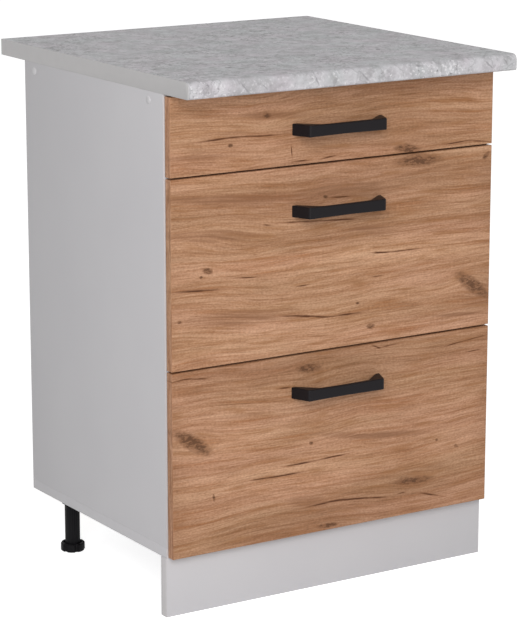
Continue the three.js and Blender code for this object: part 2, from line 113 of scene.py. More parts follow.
# Melamine film on chipboard: even pale grey, pressed with a fine pearl
# texture that breaks the gloss. The 0.4 mm pearls are drawn 1.2 mm wide.
melamine = clouded_finish(
    "melamine_faced_chipboard",
    tones=("#BCBABD", "#C2C0C2"),
    clouds=(140, 2.0),
    sheen=(0.42, 0.54),
    shader={"IOR": 1.5},
    grain=(1.2, 1.0, 0.15, 0.05),
)

# ABS edging: 0.5 mm plastic tape in the same grey, glued on and scraped
# smooth, so a little glossier than the boards.
abs_edging = clouded_finish(
    "abs_edging",
    tones=("#BEBBBD", "#C6C2C2"),
    clouds=(60, 4.0),
    sheen=(0.34, 0.46),
    shader={"IOR": 1.53},
)


def make_piece(name, shape, finish, body, sharp=35):
    """Turns a bmesh in millimetres into a piece that rides on a body."""
    bmesh.ops.recalc_face_normals(shape, faces=shape.faces)
    bmesh.ops.scale(shape, vec=(0.001, 0.001, 0.001), verts=shape.verts)
    mesh = bpy.data.meshes.new(name)
    shape.to_mesh(mesh)
    shape.free()
    for material in finish if isinstance(finish, list) else [finish]:
        mesh.materials.append(material)
    mesh.shade_smooth()
    mesh.set_sharp_from_angle(angle=math.radians(sharp))
    piece = bpy.data.objects.new(name, mesh)
    bpy.context.scene.collection.objects.link(piece)
    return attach(piece, body)


def add_board(shape, low, high, ease, segments=2):
    """Adds a block from corner low to corner high with its edges rounded over by ease."""
    corners = bmesh.ops.create_cube(shape, size=1.0)["verts"]
    for corner in corners:
        corner.co = [a + (b - a) * (c + 0.5) for a, b, c in zip(low, high, corner.co, strict=True)]
    edges = list(dict.fromkeys(edge for corner in corners for edge in corner.link_edges))
    bmesh.ops.bevel(shape, geom=edges, offset=ease, segments=segments, profile=0.5, affect="EDGES")


def box_of(name):
    """A CAD node's corners at rest in millimetres."""
    low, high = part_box(name)
    return low * 1000, high * 1000


def dress(names, finish):
    """Gives CAD nodes a finish."""
    for name in names:
        for i in range(max(1, len(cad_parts[name].material_slots))):
            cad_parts[name].data.materials[i] = finish


# The boards' edges are eased by 0.4 mm, so the joints between them show as fine lines.
edge_ease = 0.4
for name in ("side_left", "side_right", "bottom_panel", "front_rail", "rear_rail", "plinth"):
    board = bmesh.new()
    low, high = box_of(name)
    add_board(board, low, high, edge_ease)
    piece = make_piece(f"{name}_board", board, melamine, "carcass")
    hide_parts(name)

edging = bmesh.new()
edge_thickness = 0.5
for name in ("side_left", "side_right", "bottom_panel", "front_rail"):
    low, high = box_of(name)
    front = low.y - edge_thickness
    add_board(edging, (low.x, front, low.z), (high.x, low.y, high.z), edge_ease)
low, high = box_of("plinth")
for side, x in ((-1, low.x), (1, high.x)):
    inner, outer = sorted((x, x + side * edge_thickness))
    add_board(edging, (inner, low.y, low.z), (outer, high.y, high.z), edge_ease / 2)
make_piece("carcass_edging", edging, abs_edging, "carcass")

# ---------------------------------------------------------------------------
# Back panel: 3 mm hardboard, painted white on the side that shows inside and
# raw brown behind, nailed to the boards' rear edges with flat-headed nails.
# ---------------------------------------------------------------------------

# Hardboard: pressed wood fibre. The raw side is brown with darker and paler
# fibre bundles 2 to 6 mm long, the good side is roller-painted white.
hardboard, tree, place = start_material("painted_hardboard")
facing = add_node(tree, "SeparateXYZ", {0: add_node(tree, "TexCoord").outputs["Normal"]})
inward = add_node(tree, "Math", {0: facing.outputs["Y"], 1: -1.0}, operation="MULTIPLY")
good_side = add_node(tree, "Math", {0: inward, 1: facing.outputs["Z"]}, operation="MAXIMUM")
good_side = add_node(tree, "Math", {0: good_side, 1: 0.5}, operation="GREATER_THAN")
sockets = {"Vector": place, "Scale": 1 / 5, "Detail": 6.0, "Roughness": 0.75, "Distortion": 1.2}
bundles = add_node(tree, "TexNoise", sockets)
raw = add_node(tree, "ValToRGB", {"Fac": bundles})
raw.color_ramp.elements[0].position = 0.36
raw.color_ramp.elements[0].color = linear("#7C5D42")
raw.color_ramp.elements[1].position = 0.66
raw.color_ramp.elements[1].color = linear("#B3916D")
clouds = add_node(tree, "TexNoise", {"Vector": place, "Scale": 1 / 90, "Detail": 3.0})
sockets = {"Factor": clouds, "A": linear("#DDDAD5"), "B": linear("#E6E3DE")}
paint = add_node(tree, "Mix", sockets, data_type="RGBA")
colour = add_node(tree, "Mix", {"Factor": good_side, "A": raw, "B": paint}, data_type="RGBA")
sheen = add_node(tree, "MapRange", {"Value": good_side, "To Min": 0.78, "To Max": 0.5})
relief = add_node(tree, "Bump", {"Height": bundles, "Strength": 0.4, "Distance": 0.0001})
sockets = {"Base Color": colour, "Roughness": sheen, "Normal": relief, "IOR": 1.5}
end_material(tree, add_node(tree, "BsdfPrincipled", sockets))

# Zinc-plated steel: bright bluish silver with cloudy passivation, dull
# enough that reflections spread.
zinc = clouded_finish(
    "zinc_plated_steel",
    tones=("#B9BCC2", "#D3D2CC"),
    clouds=(2.5, 4.0),
    sheen=(0.26, 0.42),
    shader={"Metallic": 1.0},
)


def add_turned(shape, place, outward, rings, sides=24):
    """Adds a turned form: rings of (radius, height) along outward from place. A radius may be a
    function of the angle, for a recess."""
    turn = Vector(outward).to_track_quat("Z", "Y").to_matrix()
    loops = []
    for radius, height in rings:
        loop = []
        for i in range(sides):
            angle = 2 * math.pi * i / sides
            r = radius(angle) if callable(radius) else radius
            spot = Vector((r * math.cos(angle), r * math.sin(angle), height))
            loop.append(shape.verts.new(Vector(place) + turn @ spot))
        loops.append(loop)
    for near, far in zip(loops, loops[1:], strict=False):
        for i in range(sides):
            j = (i + 1) % sides
            shape.faces.new((near[i], near[j], far[j], far[i]))
    shape.faces.new(loops[0][::-1])
    shape.faces.new(loops[-1])


def cross_recess(reach, half_width):
    """Outline of a cross-shaped driver recess."""

    def radius(angle):
        turned = (angle + math.pi / 4) % (math.pi / 2) - math.pi / 4
        side = half_width / max(1e-6, abs(math.sin(turned)))
        return min(reach / math.cos(turned), side)

    return radius


def hexagon(across_flats):
    """Outline of a hexagonal driver recess."""

    def radius(angle):
        turned = (angle + math.pi / 6) % (math.pi / 3) - math.pi / 6
        return across_flats / 2 / math.cos(turned)

    return radius


# Nails run down the middle of both sides, and along the bottom board and the rear rail.
dress(["back_panel"], hardboard)
low, high = box_of("back_panel")
side_line, first_nail, nail_spacing = 292, 30, 94.5
bottom_line, rail_line = 104, 803
nail_head = [(1.9, -0.2), (1.9, 0.3), (1.6, 0.55), (0.6, 0.6), (0.5, 0.5)]
heights = [low.z + first_nail + nail_spacing * i for i in range(8)]
nail_places = [(x, z) for x in (-side_line, side_line) for z in heights]
nail_places += [(x, z) for x in (-200, -100, 0, 100, 200) for z in (bottom_line, rail_line)]
nails = bmesh.new()
for x, z in nail_places:
    add_turned(nails, (x, high.y, z), (0, 1, 0), nail_head, 16)
make_piece("back_panel_nails", nails, zinc, "carcass")

# ---------------------------------------------------------------------------
# Confirmat screws: 7 mm flat-headed board screws with a hexagonal recess.
# Those through the sides into the top rails are hidden by white push-in
# polyethylene caps; those up through the bottom board stay bare.
# ---------------------------------------------------------------------------

# Low-density polyethylene: soft, waxy, slightly see-through greyish white.
polyethylene = clouded_finish(
    "moulded_polyethylene",
    tones=("#C4C2C4", "#CBC9CB"),
    clouds=(3, 2.0),
    sheen=(0.38, 0.5),
    shader={"IOR": 1.51, "Subsurface Weight": 0.15, "Subsurface Radius": (0.001, 0.001, 0.001)},
)

cap_profile = [(5.6, -0.4), (6.2, 0), (6.2, 0.3), (5.6, 0.8), (3.6, 1.1), (1.2, 1.2)]
side_face = box_of("side_right")[1].x
rail_ends, rail_middle = (-183, 184), 802.5
caps = bmesh.new()
for side in (-1, 1):
    for y in rail_ends:
        add_turned(caps, (side * side_face, y, rail_middle), (side, 0, 0), cap_profile, 32)
make_piece("carcass_screw_caps", caps, polyethylene, "carcass")

confirmat_head = [(4.8, -0.3), (4.8, 0.5), (4.5, 0.8), (hexagon(4.4), 0.75), (hexagon(4.0), -0.25)]
underside = box_of("bottom_panel")[0].z
confirmats = bmesh.new()
for x in (-side_line, side_line):
    for y in (-180, 0, 180):
        add_turned(confirmats, (x, y, underside), (0, 0, -1), confirmat_head, 36)
make_piece("bottom_panel_confirmats", confirmats, zinc, "carcass")

# ---------------------------------------------------------------------------
# Plinth brackets: three moulded corner blocks screwed to the plinth's back
# and to the underside of the bottom board.
# ---------------------------------------------------------------------------

# Polypropylene: black, moulded in an etched tool, so a satin skin with a
# fine grain. The 0.3 mm grain is drawn 0.8 mm wide.
polypropylene = clouded_finish(
    "moulded_polypropylene",
    tones=("#0D0C0E", "#131214"),
    clouds=(22, 2.0),
    sheen=(0.42, 0.6),
    shader={"IOR": 1.49, "Specular IOR Level": 0.09},
    grain=(0.8, 2.0, 0.25, 0.1),
)

pan_head = [
    (3.9, -0.2),
    (3.9, 0.6),
    (3.5, 1.5),
    (2.6, 2.1),
    (cross_recess(2.1, 0.55), 2.2),
    (cross_recess(1.4, 0.35), 1.0),
]
# Two walls at a right angle, with a three-cornered rib near either end.
half_width, wall, upright, reach = 14, 4, 26, 28
bracket_ease, rib_place, half_rib = 0.8, 12.5, 1
back, top = box_of("plinth")[1].yz
brackets = bmesh.new()
bracket_screws = bmesh.new()
for x in (-220, 0, 220):
    left, right = x - half_width, x + half_width
    add_board(brackets, (left, back, top - upright), (right, back + wall, top), bracket_ease)
    add_board(
        brackets, (left, back + wall - 1, top - wall), (right, back + reach, top), bracket_ease
    )
    for rib in (-rib_place, rib_place):
        web = [
            brackets.verts.new((x + rib + t, back + y, top - z))
            for t in (-half_rib, half_rib)
            for y, z in ((3, 3), (26, 3), (3, 24))
        ]
        brackets.faces.new(web[:3])
        brackets.faces.new(web[:2:-1])
        for i in range(3):
            j = (i + 1) % 3
            brackets.faces.new((web[i], web[i + 3], web[j + 3], web[j]))
    add_turned(bracket_screws, (x, back + wall, top - 16), (0, 1, 0), pan_head, 32)
    add_turned(bracket_screws, (x, back + 17, top - wall), (0, 0, -1), pan_head, 32)
make_piece("plinth_brackets", brackets, polypropylene, "carcass")
make_piece("plinth_bracket_screws", bracket_screws, zinc, "carcass")

# ---------------------------------------------------------------------------
# Levelling legs at the back: a moulded socket screwed under the bottom
# board, a grooved tube pressed into it, and a notched foot on a screwed stem.
# ---------------------------------------------------------------------------

for side in ("left", "right"):
    dress([f"leg_{side}_{part}" for part in ("socket", "tube", "foot")], polypropylene)
leg_x, leg_y, plate_underside, plate_corner = 264, 148, 93, 22
socket_screws = bmesh.new()
for x in (-leg_x, leg_x):
    for across in (-plate_corner, plate_corner):
        for along in (-plate_corner, plate_corner):
            place = (x + across, leg_y + along, plate_underside)
            add_turned(socket_screws, place, (0, 0, -1), pan_head, 32)
make_piece("leg_socket_screws", socket_screws, zinc, "carcass")

# ---------------------------------------------------------------------------
# Worktop: a 26 mm chipboard core, a stone-look laminate bent over its front
# edge (postforming), plain grey strips ironed onto the two sawn ends, and
# brown paper underneath. Screws through the top rails hold it down.
# ---------------------------------------------------------------------------

worktop_low, worktop_high = box_of("worktop")
laminate_thickness = 0.8
band_thickness = 0.6
nose_top_rounding = 10
nose_bottom_rounding = 4
laminate_return = 22

# High-pressure stone laminate: melamine over a printed pale grey stone, with
# 5 to 30 mm clouds, drifts of 2 to 6 mm dark and pale grains, dark chips of 3
# to 9 mm (fewer on the nose), hair veins, and a fine pearl finish.
stone_laminate, tree, place = start_material("stone_laminate")
bent = add_node(tree, "TexNoise", {"Vector": place, "Scale": 1 / 45, "Detail": 3.0})
mean = (0.5, 0.5, 0.5)
bent = add_node(tree, "VectorMath", {0: bent.outputs["Color"], 1: mean}, operation="SUBTRACT")
bent = add_node(tree, "VectorMath", {0: bent, "Scale": 22.0}, operation="SCALE")
bent = add_node(tree, "VectorMath", {0: place, 1: bent}, operation="ADD")
clouds = add_node(
    tree, "TexNoise", {"Vector": bent, "Scale": 1 / 26, "Detail": 5.0, "Roughness": 0.6}
)
stone = add_node(tree, "ValToRGB", {"Fac": clouds})
ramp = stone.color_ramp
ramp.elements[0].position = 0.34
ramp.elements[0].color = linear("#ACAAAC")
ramp.elements[1].position = 0.64
ramp.elements[1].color = linear("#CBC9CC")
ramp.elements.new(0.48).color = linear("#BDBBBE")
tint = add_node(tree, "TexNoise", {"Vector": place, "Scale": 1 / 60, "Detail": 2.0})
tint = add_node(tree, "MapRange", {"Value": tint, "From Min": 0.35, "From Max": 0.65})
tint = add_node(
    tree, "Mix", {"Factor": tint, "A": linear("#FAFEFC"), "B": linear("#FFFBFD")}, data_type="RGBA"
)
stone = add_node(
    tree, "Mix", {"Factor": 1.0, "A": stone, "B": tint}, data_type="RGBA", blend_type="MULTIPLY"
)


def marks_on(tree, place, marks, middle, reach, stretch=1.0):
    """Strength of marks in a face: each runs from x, z to x, z with a half width, and fades from
    1 in its middle. Overlaps add up. They lie at y = middle and fade out within reach."""
    total = None
    for x1, z1, x2, z2, half_width in marks:
        sockets = {
            "Vector": place,
            "Location": ((x1 + x2) / 2, middle, (z1 + z2) / 2),
            "Rotation": (0.0, math.atan2(z1 - z2, x2 - x1), 0.0),
            "Scale": (math.hypot(x2 - x1, z2 - z1) / 2 * stretch, reach, half_width),
        }
        spot = add_node(tree, "Mapping", sockets, vector_type="TEXTURE")
        fade = add_node(tree, "TexGradient", {"Vector": spot}, gradient_type="SPHERICAL")
        if total is None:
            total = fade
        else:
            total = add_node(tree, "Math", {0: total, 1: fade}, operation="ADD")
    return total


# Drifts in which small dark grains gather, three of them placed on the nose.
drifts = add_node(tree, "TexNoise", {"Vector": bent, "Scale": 1 / 70, "Detail": 2.0})
drifts = add_node(tree, "MapRange", {"Value": drifts, "From Min": 0.5, "From Max": 0.62})
nose_drifts = [(-312, 824, -244, 830, 16), (30, 830, 66, 826, 14), (132, 822, 206, 828, 20)]
nose_drifts = marks_on(tree, bent, nose_drifts, worktop_low.y, 26)
nose_drifts = add_node(tree, "MapRange", {"Value": nose_drifts, "From Max": 0.35})
drifts = add_node(tree, "Math", {0: drifts, 1: nose_drifts}, operation="MAXIMUM")
grains = add_node(
    tree, "TexNoise", {"Vector": place, "Scale": 1 / 6, "Detail": 3.0, "Roughness": 0.7}
)
grains = add_node(tree, "MapRange", {"Value": grains, "From Min": 0.56, "From Max": 0.7})
grains = add_node(tree, "Math", {0: grains, 1: drifts}, operation="MULTIPLY")
# Dark chips strewn over the flat, more of them in some places.
strewn = add_node(
    tree, "TexNoise", {"Vector": place, "Scale": 1 / 9, "Detail": 3.0, "Roughness": 0.65}
)
strewn = add_node(
    tree, "MapRange", {"Value": strewn, "From Min": 0.55, "From Max": 0.61, "To Max": 0.85}
)
crowded = add_node(tree, "TexNoise", {"Vector": place, "Scale": 1 / 110, "Detail": 2.0})
crowded = add_node(
    tree, "MapRange", {"Value": crowded, "From Min": 0.4, "From Max": 0.6, "To Min": 0.35}
)
strewn = add_node(tree, "Math", {0: strewn, 1: crowded}, operation="MULTIPLY")
flat = add_node(tree, "SeparateXYZ", {"Vector": place}).outputs["Y"]
flat = add_node(
    tree, "MapRange", {"Value": flat, "From Min": -292, "From Max": -265, "To Min": 0.3}
)
strewn = add_node(tree, "Math", {0: strewn, 1: flat}, operation="MULTIPLY")
grains = add_node(tree, "Math", {0: grains, 1: strewn}, operation="MAXIMUM")
# Hair veins, and six short ones placed on the nose.
ridges = add_node(
    tree, "TexNoise", {"Vector": bent, "Scale": 1 / 55, "Detail": 3.0, "Roughness": 0.45}
)
ridges = add_node(tree, "Math", {0: ridges, 1: 0.5}, operation="SUBTRACT")
ridges = add_node(tree, "Math", {0: ridges}, operation="ABSOLUTE")
sockets = {"Value": ridges, "From Min": 0.004, "From Max": 0.012, "To Min": 0.38, "To Max": 0.0}
veins = add_node(tree, "MapRange", sockets)
nose_veins = [
    (-214, 838, -198, 818, 2.0),
    (-178, 836, -166, 818, 1.6),
    (-82, 834, -70, 820, 1.4),
    (-2, 836, 18, 818, 2.0),
    (236, 834, 252, 820, 1.8),
    (270, 838, 284, 822, 1.8),
]
nose_veins = marks_on(tree, bent, nose_veins, worktop_low.y, 18)
nose_veins = add_node(tree, "MapRange", {"Value": nose_veins, "From Max": 0.6, "To Max": 0.7})
veins = add_node(tree, "Math", {0: veins, 1: nose_veins}, operation="MAXIMUM")
# Pale flecks, denser in the drifts.
flecks = add_node(tree, "TexNoise", {"Vector": place, "Scale": 1 / 4.2, "Detail": 1.0})
flecks = add_node(tree, "MapRange", {"Value": flecks, "From Min": 0.56, "From Max": 0.7})
gathered = add_node(tree, "MapRange", {"Value": drifts, "To Min": 0.4, "To Max": 0.9})
flecks = add_node(tree, "Math", {0: flecks, 1: gathered}, operation="MULTIPLY")
for strength, tone in ((flecks, "#DBD9DB"), (veins, "#8F8D8F"), (grains, "#7E7C7E")):
    sockets = {"Factor": strength, "A": stone, "B": linear(tone)}
    stone = add_node(tree, "Mix", sockets, data_type="RGBA")
pearls = add_node(tree, "TexNoise", {"Vector": place, "Scale": 1 / 1.5, "Detail": 1.0})
sockets = {
    "Base Color": stone,
    "Roughness": add_node(tree, "MapRange", {"Value": pearls, "To Min": 0.4, "To Max": 0.56}),
    "Normal": add_node(tree, "Bump", {"Height": pearls, "Strength": 0.12, "Distance": 0.00005}),
    "IOR": 1.5,
    "Specular IOR Level": 0.1,
}
end_material(tree, add_node(tree, "BsdfPrincipled", sockets))

# Laminate strip on the worktop's ends: plain grey, matt, filed flush.
end_strip = clouded_finish(
    "plain_laminate_strip",
    tones=("#B5B3B3", "#BDBBBB"),
    clouds=(18, 4.0),
    sheen=(0.46, 0.58),
    shader={"IOR": 1.5},
)

# Chipboard: pressed softwood chips 1 to 6 mm long with glue between, seen
# raw on the worktop's rear edge.
chipboard, tree, place = start_material("raw_chipboard")
flat = add_node(tree, "Mapping", {"Vector": place, "Scale": (1.0, 1.0, 2.2)})
chips = add_node(tree, "TexVoronoi", {"Vector": flat, "Scale": 1 / 3.4, "Randomness": 1.0})
shade = add_node(tree, "SeparateColor", {0: chips.outputs["Color"]})
colour = add_node(tree, "ValToRGB", {"Fac": shade.outputs[0]})
colour.color_ramp.elements[0].color = linear("#8C6C48")
colour.color_ramp.elements[1].color = linear("#D3B387")
relief = add_node(tree, "Bump", {"Height": chips, "Strength": 0.6, "Distance": 0.0003})
sockets = {"Base Color": colour, "Roughness": 0.85, "Normal": relief, "IOR": 1.5}
end_material(tree, add_node(tree, "BsdfPrincipled", sockets))

# Backing paper: brown kraft paper soaked in resin, with faint long fibres.
kraft, tree, place = start_material("kraft_backing_paper")
drawn = add_node(tree, "Mapping", {"Vector": place, "Scale": (1 / 30, 1 / 3, 1 / 3)})
fibres = add_node(tree, "TexNoise", {"Vector": drawn, "Scale": 1.0, "Detail": 5.0})
sockets = {"Factor": fibres, "A": linear("#8A7461"), "B": linear("#A6907A")}
colour = add_node(tree, "Mix", sockets, data_type="RGBA")
sheen = add_node(tree, "MapRange", {"Value": fibres, "To Min": 0.55, "To Max": 0.75})
sockets = {"Base Color": colour, "Roughness": sheen, "IOR": 1.5}
end_material(tree, add_node(tree, "BsdfPrincipled", sockets))


def nose_outline(inset):
    """The worktop's section from its top rear edge round the nose to the laminate's end below,
    as (y, z), moved in by inset."""
    front, back, steps = worktop_low.y, worktop_high.y, 12
    outline = [(back, worktop_high.z - inset)]
    for radius, level, start in (
        (nose_top_rounding, worktop_high.z - nose_top_rounding, 90),
        (nose_bottom_rounding, worktop_low.z + nose_bottom_rounding, 180),
    ):
        for step in range(steps + 1):
            angle = math.radians(start + 90 * step / steps)
            y = front + radius + (radius - inset) * math.cos(angle)
            outline.append((y, level + (radius - inset) * math.sin(angle)))
    outline.append((front + laminate_return, worktop_low.z + inset))
    return outline


def add_section(shape, outlines):
    """Adds a closed form from sections, each an x and its outline in y and z."""
    loops = [[shape.verts.new((x, y, z)) for y, z in outline] for x, outline in outlines]
    count = len(loops[0])
    for near, far in zip(loops, loops[1:], strict=False):
        for i in range(count):
            j = (i + 1) % count
            shape.faces.new((near[i], near[j], far[j], far[i]))
    shape.faces.new(loops[0][::-1])
    shape.faces.new(loops[-1])


half_length = worktop_high.x - band_thickness
outer, inner = nose_outline(0), nose_outline(laminate_thickness)
skin = bmesh.new()
skin_outline = outer + inner[::-1]
add_section(skin, [(-half_length, skin_outline), (half_length, skin_outline)])
piece = make_piece("worktop_laminate", skin, stone_laminate, "carcass", 20)
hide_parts("worktop")

core = bmesh.new()
core_outline = inner + [(worktop_low.y + laminate_return, worktop_low.z)]
core_outline.append((worktop_high.y, worktop_low.z))
add_section(core, [(-half_length, core_outline), (half_length, core_outline)])
for face in core.faces:
    face.normal_update()
    if abs(face.normal.z) > 0.9 and face.calc_center_median().z < worktop_low.z + 1:
        face.material_index = 1
piece = make_piece("worktop_core", core, [chipboard, kraft], "carcass")
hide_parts("worktop")

# The strips' outer edges are filed back by 0.15 mm over the last 0.2 mm.
strips = bmesh.new()
end_outline = outer[:-1] + [(worktop_high.y, worktop_low.z)]
centre_y = (worktop_low.y + worktop_high.y) / 2
centre_z = (worktop_low.z + worktop_high.z) / 2
filed_y, filed_z = 0.9995, 0.988
filed_outline = [
    (centre_y + (y - centre_y) * filed_y, centre_z + (z - centre_z) * filed_z)
    for y, z in end_outline
]
for side in (-1, 1):
    sections = [
        (side * half_length, end_outline),
        (side * (worktop_high.x - 0.2), end_outline),
        (side * worktop_high.x, filed_outline),
    ]
    add_section(strips, sections)
piece = make_piece("worktop_end_strips", strips, end_strip, "carcass", 50)
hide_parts("worktop")

rail_underside = 795
holding_screws = bmesh.new()
for x in (-200, 200):
    for y in (-185, 177):
        add_turned(holding_screws, (x, y, rail_underside), (0, 0, -1), pan_head, 32)
make_piece("worktop_holding_screws", holding_screws, zinc, "carcass")

# ---------------------------------------------------------------------------
# Roller runners: folded steel rails with an epoxy powder coat, one on each
# cabinet side and one under each drawer side. Each carries a nylon roller.
# ---------------------------------------------------------------------------

# Epoxy powder on steel: warm white, glossy, with the slight orange peel of
# baked powder, about 2 mm from hump to hump.
epoxy_steel = clouded_finish(
    "epoxy_coated_steel",
    tones=("#DDDDD8", "#E4E3DF"),
    clouds=(40, 2.0),
    sheen=(0.26, 0.36),
    shader={"IOR": 1.55},
    grain=(2, 1.0, 0.25, 0.1),
)

# Nylon roller: moulded, natural white, a little see-through, its tread
# polished by the rail.
nylon = clouded_finish(
    "moulded_nylon",
    tones=("#E6E4DA", "#EFEEE6"),
    clouds=(4, 2.0),
    sheen=(0.3, 0.5),
    shader={"IOR": 1.53, "Subsurface Weight": 0.1, "Subsurface Radius": (0.001, 0.001, 0.001)},
)

dress([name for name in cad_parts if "_rail_" in name and "roller" not in name], epoxy_steel)
dress([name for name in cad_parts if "roller_" in name], nylon)

# Each drawer's rails carry it at its seat, the underside of its floor.
seats = {"top": 703, "middle": 428, "bottom": 131}
flat_head = [(3.5, -0.3), (3.5, 0.25), (3.2, 0.6), (cross_recess(2.0, 0.55), 0.65), (0.9, -0.25)]
web_face, web_height = 282.75, 10.5
cabinet_rail_screws = bmesh.new()
for seat in seats.values():
    for side in (-1, 1):
        for y in (-188, -23, 142):
            place = (side * web_face, y, seat + web_height)
            add_turned(cabinet_rail_screws, place, (-side, 0, 0), flat_head, 32)
make_piece("cabinet_rail_screws", cabinet_rail_screws, zinc, "carcass")
flange_middle, rail_thickness = 264.5, 1.25
for drawer, seat in seats.items():
    screws = bmesh.new()
    for x in (-flange_middle, flange_middle):
        for y in (-190, -26, 138):
            add_turned(screws, (x, y, seat - rail_thickness), (0, 0, -1), pan_head, 32)
    name = f"drawer_{drawer}_rail_screws"
    make_piece(name, screws, zinc, f"drawer_{drawer}")

# ---------------------------------------------------------------------------
# Drawer boxes: grey melamine boards with edging on their top edges, joined
# at the corners by confirmat screws, on a nailed hardboard floor.
# ---------------------------------------------------------------------------

parts = ("side_left", "side_right", "inner_front", "back")
box_face, corner_lines = 271.5, (-219, 165)
inner_front_back = -211
floor_nail = [(1.9, -0.2), (1.9, 0.3), (1.5, 0.55), (0.5, 0.6)]
box_screw_heights = {"top": (742, 770), "middle": (481, 571), "bottom": (184, 274)}
for drawer, heights in box_screw_heights.items():
    body = f"drawer_{drawer}"
    boards = [f"{body}_{part}" for part in parts]
    dress(boards, melamine)
    dress([f"{body}_floor"], hardboard)
    edging = bmesh.new()
    for name in boards:
        low, high = box_of(name)
        add_board(edging, (low.x, low.y, high.z), (high.x, high.y, high.z + edge_thickness), 0.35)
    make_piece(f"{body}_edging", edging, abs_edging, body)
    screws = bmesh.new()
    for side in (-1, 1):
        for y in corner_lines:
            for z in heights:
                add_turned(screws, (side * box_face, y, z), (side, 0, 0), confirmat_head, 36)
    for x in (-180, 180):
        for z in heights:
            add_turned(screws, (x, inner_front_back, z), (0, 1, 0), pan_head, 32)
    for x in (-200, -100, 0, 100, 200):
        for y in corner_lines:
            add_turned(screws, (x, y, seats[drawer]), (0, 0, -1), floor_nail, 16)
    make_piece(f"{body}_box_screws", screws, zinc, body)

# ---------------------------------------------------------------------------
# Drawer fronts: 16 mm chipboard with a printed rustic oak melamine on both
# faces and 1 mm matching ABS edging, rounded over, on all four edges.
# ---------------------------------------------------------------------------


